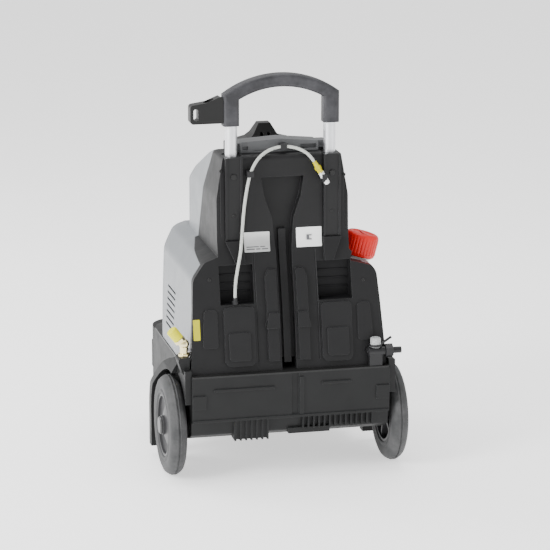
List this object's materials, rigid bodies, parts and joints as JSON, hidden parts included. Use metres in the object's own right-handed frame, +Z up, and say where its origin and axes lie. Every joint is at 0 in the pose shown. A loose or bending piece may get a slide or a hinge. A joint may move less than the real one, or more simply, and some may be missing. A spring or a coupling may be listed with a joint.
{
  "type": "hot water pressure cleaner",
  "caption": "Upright wheeled hot-water high-pressure cleaner with a pull-out arch handle, grey front hood, black ribbed back, red fuel cap, brass outlet and flue cowl.",
  "frame": {"origin": "on the floor under the middle of the machine's box", "axes": "+Z up, +Y the way the machine is pushed (the hood side), -Y the back with the handle, +X the operator's right"},
  "size_m": [0.618, 0.618, 0.994],
  "materials": {
    "base_plastic": "moulded, fine grain",
    "sheet_steel": "black powder coat",
    "bumper_rubber": "matte",
    "shell_plastic": "moulded, fine grain",
    "hood_plastic": "satin grey",
    "crossbar_plastic": "moulded",
    "panel_plastic": "moulded",
    "cowl_metal": "black heat-proof paint",
    "plate_silver": "satin",
    "label_white": "smooth",
    "marker_yellow": "smooth",
    "steel_small": "bright",
    "tyre_rubber": "matte",
    "pedal_plastic": "moulded",
    "grip_rubber": "soft touch",
    "holder_plastic": "moulded",
    "tank_plastic": "translucent white",
    "cap_red": "satin red",
    "inlet_plastic": "moulded",
    "strainer_clear": "translucent",
    "motor_alloy": "cast",
    "pump_brass": "machined",
    "pipe_steel": "plain",
    "outlet_brass": "machined",
    "cap_yellow": "smooth",
    "boiler_steel": "rolled sheet",
    "burner_paint": "matte",
    "knob_plastic": "moulded",
    "hose_plastic": "translucent grey",
    "filter_plastic": "smooth",
    "rim_plastic": "moulded",
    "hub_plastic": "moulded",
    "sleeve_plastic": "moulded",
    "tube_aluminium": "anodised"
  },
  "bodies": {
    "root": {"chassis_base": "base_plastic", "deck_plate": "sheet_steel", "fender_left": "base_plastic", "fender_right": "base_plastic", "front_bumper": "bumper_rubber", "rear_shell": "shell_plastic", "front_hood": "hood_plastic", "top_crossbar": "crossbar_plastic", "control_panel": "panel_plastic", "flue_cowl": "cowl_metal", "type_plate": "plate_silver", "info_label": "label_white", "yellow_marker": "marker_yellow", "shell_screws": "steel_small", "rear_axle": "steel_small", "caster_mount_plate": "sheet_steel", "fuel_tank": "tank_plastic", "fuel_filler_neck": "tank_plastic", "water_float_tank": "tank_plastic", "water_inlet_body": "inlet_plastic", "inlet_strainer_bowl": "strainer_clear", "motor_housing": "motor_alloy", "pump_block": "pump_brass", "high_pressure_pipes": "pipe_steel", "heating_coil": "pipe_steel", "pressure_outlet_elbow": "outlet_brass", "boiler_outer_jacket": "boiler_steel", "flue_pipe": "boiler_steel", "burner_head": "burner_paint", "blower_housing": "motor_alloy", "electronics_box": "panel_plastic", "suction_hose": "hose_plastic", "suction_filter": "filter_plastic", "hose_gland": "inlet_plastic", "hose_clips": "inlet_plastic", "handle_sleeve_left": "sleeve_plastic", "handle_sleeve_right": "sleeve_plastic"},
    "wheel_left": {"wheel_rim_left": "rim_plastic", "tyre_left": "tyre_rubber", "hub_cap_left": "hub_plastic"},
    "wheel_right": {"wheel_rim_right": "rim_plastic", "tyre_right": "tyre_rubber", "hub_cap_right": "hub_plastic"},
    "caster": {"caster_fork": "sheet_steel", "caster_axle": "steel_small"},
    "caster_roller": {"caster_wheel": "tyre_rubber"},
    "caster_brake": {"caster_brake_pedal": "pedal_plastic"},
    "handle": {"handle_tube_left": "tube_aluminium", "handle_tube_right": "tube_aluminium", "handle_grip": "grip_rubber", "lance_holder": "holder_plastic"},
    "button_left": {"lock_button_left": "knob_plastic"},
    "button_right": {"lock_button_right": "knob_plastic"},
    "filler_plug": {"filler_cap_insert": "tank_plastic"},
    "filler_cap": {"filler_cap": "cap_red"},
    "outlet_cap": {"outlet_cap": "cap_yellow"},
    "knob": {"switch_knob": "knob_plastic"},
    "motor_rotor": {"motor_shaft": "steel_small"},
    "blower_wheel": {"fan_wheel": "motor_alloy"},
    "union_nut": {"inlet_union_nut": "inlet_plastic"}
  },
  "joints": [
    {"name": "wheel_left_spin", "type": "hinge", "parent": "root", "child": "wheel_left", "pos_m": [-0.28, -0.184, 0.125], "axis": [1, 0, 0], "continuous": true},
    {"name": "wheel_right_spin", "type": "hinge", "parent": "root", "child": "wheel_right", "pos_m": [0.28, -0.184, 0.125], "axis": [1, 0, 0], "continuous": true},
    {"name": "caster_swivel", "type": "hinge", "parent": "root", "child": "caster", "pos_m": [0, 0.19, 0.092], "axis": [0, 0, 1], "continuous": true},
    {"name": "caster_roll", "type": "hinge", "parent": "caster", "child": "caster_roller", "pos_m": [0, 0.162, 0.04], "axis": [1, 0, 0], "continuous": true},
    {"name": "caster_brake_press", "type": "hinge", "parent": "caster", "child": "caster_brake", "pos_m": [0, 0.138, 0.083], "axis": [1, 0, 0], "range_deg": [0, 16]},
    {"name": "handle_slide", "type": "slide", "parent": "root", "child": "handle", "axis": [0, 0, 1], "range_m": [-0.072, 0]},
    {"name": "button_left_press", "type": "slide", "parent": "root", "child": "button_left", "axis": [0, 1, 0], "range_m": [0, 0.0025], "stiffness_N_per_m": 600},
    {"name": "button_right_press", "type": "slide", "parent": "root", "child": "button_right", "axis": [0, 1, 0], "range_m": [0, 0.0025], "stiffness_N_per_m": 600},
    {"name": "filler_lift", "type": "slide", "parent": "root", "child": "filler_plug", "axis": [0.2588, 0, 0.9659], "range_m": [0, 0.04]},
    {"name": "filler_turn", "type": "hinge", "parent": "filler_plug", "child": "filler_cap", "pos_m": [0.204, -0.134, 0.5035], "axis": [0.2588, 0, 0.9659], "range_deg": [0, 90]},
    {"name": "outlet_cap_pull", "type": "slide", "parent": "root", "child": "outlet_cap", "axis": [-0.6157, 0, 0.788], "range_m": [0, 0.03]},
    {"name": "knob_turn", "type": "hinge", "parent": "root", "child": "knob", "pos_m": [0, 0.19, 0.552], "axis": [0, 1, 0], "range_deg": [0, 270]},
    {"name": "motor_spin", "type": "hinge", "parent": "root", "child": "motor_rotor", "pos_m": [0, 0.07, 0.19], "axis": [0, 1, 0], "continuous": true},
    {"name": "blower_spin", "type": "hinge", "parent": "root", "child": "blower_wheel", "pos_m": [0, 0.16, 0.41], "axis": [0, 1, 0], "continuous": true},
    {"name": "union_nut_spin", "type": "hinge", "parent": "root", "child": "union_nut", "pos_m": [0.247, -0.293, 0.312], "axis": [1, 0, 0], "continuous": true}
  ]
}
